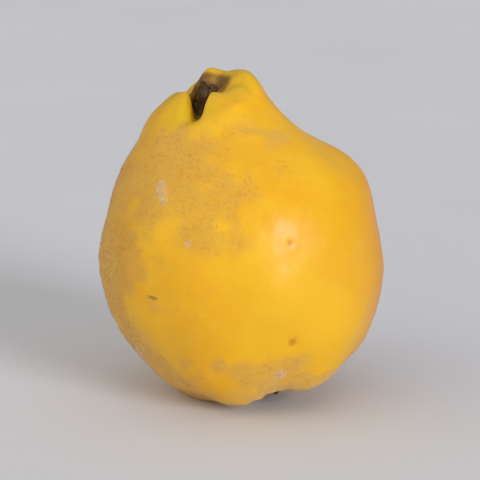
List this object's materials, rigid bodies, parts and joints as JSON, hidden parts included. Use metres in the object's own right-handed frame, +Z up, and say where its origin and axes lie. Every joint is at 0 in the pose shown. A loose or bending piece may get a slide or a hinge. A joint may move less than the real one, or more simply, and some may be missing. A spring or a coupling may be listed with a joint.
{
  "type": "quince",
  "caption": "Ripe downy quince, pear-shaped and slightly lopsided, standing on its blossom end, with a fleshy cleft neck round a broken woody stem and a withered flower in the eye.",
  "frame": {"origin": "on the surface the fruit stands on, under the middle of its bounding box", "axes": "+Z up; -Y the side seen from the front, with the cleft of the neck; +X to the right of that view, the side the blossom end turns towards, while the stem end leans towards -X"},
  "size_m": [0.0846, 0.0846, 0.0964],
  "materials": {
    "skin": "satin, with patches of felt",
    "bark": "rough",
    "withered": "dry and papery"
  },
  "bodies": {
    "root": {"fruit": "skin", "stem_stub": "bark", "sepal_1": "withered", "sepal_2": "withered", "sepal_3": "withered", "sepal_4": "withered", "sepal_5": "withered", "stamen_tuft": "withered"}
  },
  "joints": []
}
